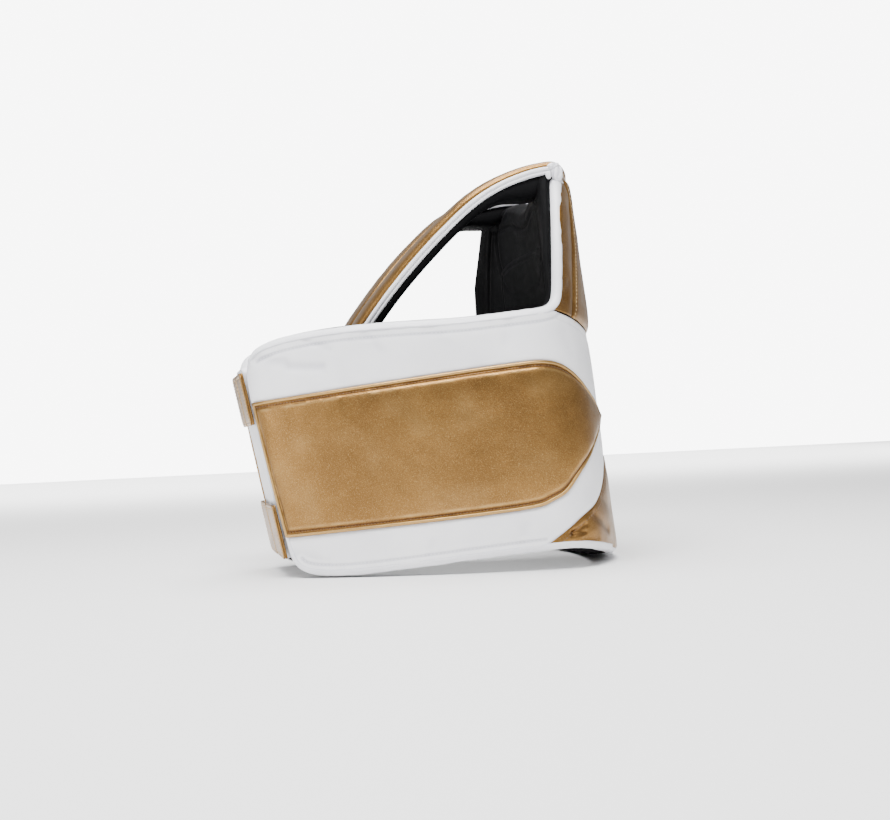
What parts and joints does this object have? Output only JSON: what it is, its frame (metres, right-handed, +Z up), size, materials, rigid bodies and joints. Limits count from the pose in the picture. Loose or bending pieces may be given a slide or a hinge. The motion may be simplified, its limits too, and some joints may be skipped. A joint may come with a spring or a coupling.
{
  "type": "trainer's body protector",
  "caption": "Padded belly and chest protector for a boxing coach, with wrap-round side wings, a two-strap shoulder harness and hook-and-loop closing tabs at the back.",
  "frame": {"origin": "on the surface the protector stands on, under the middle of its bounding box", "axes": "+X to the wearer's front, +Y to the wearer's left, +Z up; the garment leans back 5.6 degrees as it stands on its front and rear lower edges"},
  "size_m": [0.4426, 0.365, 0.4597],
  "materials": {
    "gold_leather": "metallic gold synthetic leather, fine grain, satin sheen",
    "white_leather": "smooth white synthetic leather, soft sheen",
    "binding": "folded white binding tape, soft sheen",
    "lining": "black nylon lining, matt",
    "foam": "closed-cell foam, hidden inside the covers",
    "hook_tape": "black hook tape",
    "loop_tape": "white loop tape, brushed"
  },
  "bodies": {
    "front_shield": {"chest_cover": "gold_leather", "front_band_cover": "white_leather", "belly_cover": "gold_leather", "strike_foam": "foam", "shield_foam": "foam", "shield_lining": "lining", "comfort_pad": "lining", "lower_binding": "binding", "neck_and_armhole_binding": "binding", "right_inset_tip": "gold_leather", "left_inset_tip": "gold_leather"},
    "right_wing": {"right_wing_cover": "white_leather", "right_wing_foam": "foam", "right_wing_lining": "lining", "right_wing_binding": "binding", "right_wing_inset": "gold_leather"},
    "left_wing": {"left_wing_cover": "white_leather", "left_wing_foam": "foam", "left_wing_lining": "lining", "left_wing_binding": "binding", "left_wing_inset": "gold_leather"},
    "harness": {"right_strap_cover": "gold_leather", "right_strap_foam": "foam", "right_strap_lining": "lining", "right_strap_binding": "binding", "left_strap_cover": "gold_leather", "left_strap_foam": "foam", "left_strap_lining": "lining", "left_strap_binding": "binding", "back_panel_cover": "white_leather", "back_panel_foam": "foam", "back_panel_lining": "lining", "upper_loop_patch": "loop_tape", "lower_loop_patch": "loop_tape"},
    "right_upper_closing_tab": {"right_upper_tab": "gold_leather", "right_upper_tab_hook": "hook_tape"},
    "right_lower_closing_tab": {"right_lower_tab": "gold_leather", "right_lower_tab_hook": "hook_tape"},
    "left_upper_closing_tab": {"left_upper_tab": "gold_leather", "left_upper_tab_hook": "hook_tape"},
    "left_lower_closing_tab": {"left_lower_tab": "gold_leather", "left_lower_tab_hook": "hook_tape"}
  },
  "joints": [
    {"name": "right_wing_swing", "type": "hinge", "parent": "front_shield", "child": "right_wing", "pos_m": [0.09978, -0.18289, 0.15681], "axis": [-0.0976, 0, 0.9952], "range_deg": [0, 40]},
    {"name": "left_wing_swing", "type": "hinge", "parent": "front_shield", "child": "left_wing", "pos_m": [0.09978, 0.18289, 0.15681], "axis": [0.0976, 0, -0.9952], "range_deg": [0, 40]},
    {"name": "right_upper_tab_peel", "type": "hinge", "parent": "right_wing", "child": "right_upper_closing_tab", "pos_m": [-0.21019, -0.057, 0.20177], "axis": [-0.1918, 0, 0.9814], "range_deg": [0, 90]},
    {"name": "right_lower_tab_peel", "type": "hinge", "parent": "right_wing", "child": "right_lower_closing_tab", "pos_m": [-0.18103, -0.07, 0.05259], "axis": [-0.1918, 0, 0.9814], "range_deg": [0, 90]},
    {"name": "left_upper_tab_peel", "type": "hinge", "parent": "left_wing", "child": "left_upper_closing_tab", "pos_m": [-0.21019, 0.057, 0.20177], "axis": [0.1918, 0, -0.9814], "range_deg": [0, 90]},
    {"name": "left_lower_tab_peel", "type": "hinge", "parent": "left_wing", "child": "left_lower_closing_tab", "pos_m": [-0.18103, 0.07, 0.05259], "axis": [0.1918, 0, -0.9814], "range_deg": [0, 90]},
    {"name": "harness_fold", "type": "hinge", "parent": "front_shield", "child": "harness", "pos_m": [0.11063, 0, 0.43499], "axis": [0, -1, 0], "range_deg": [0, 12]}
  ]
}
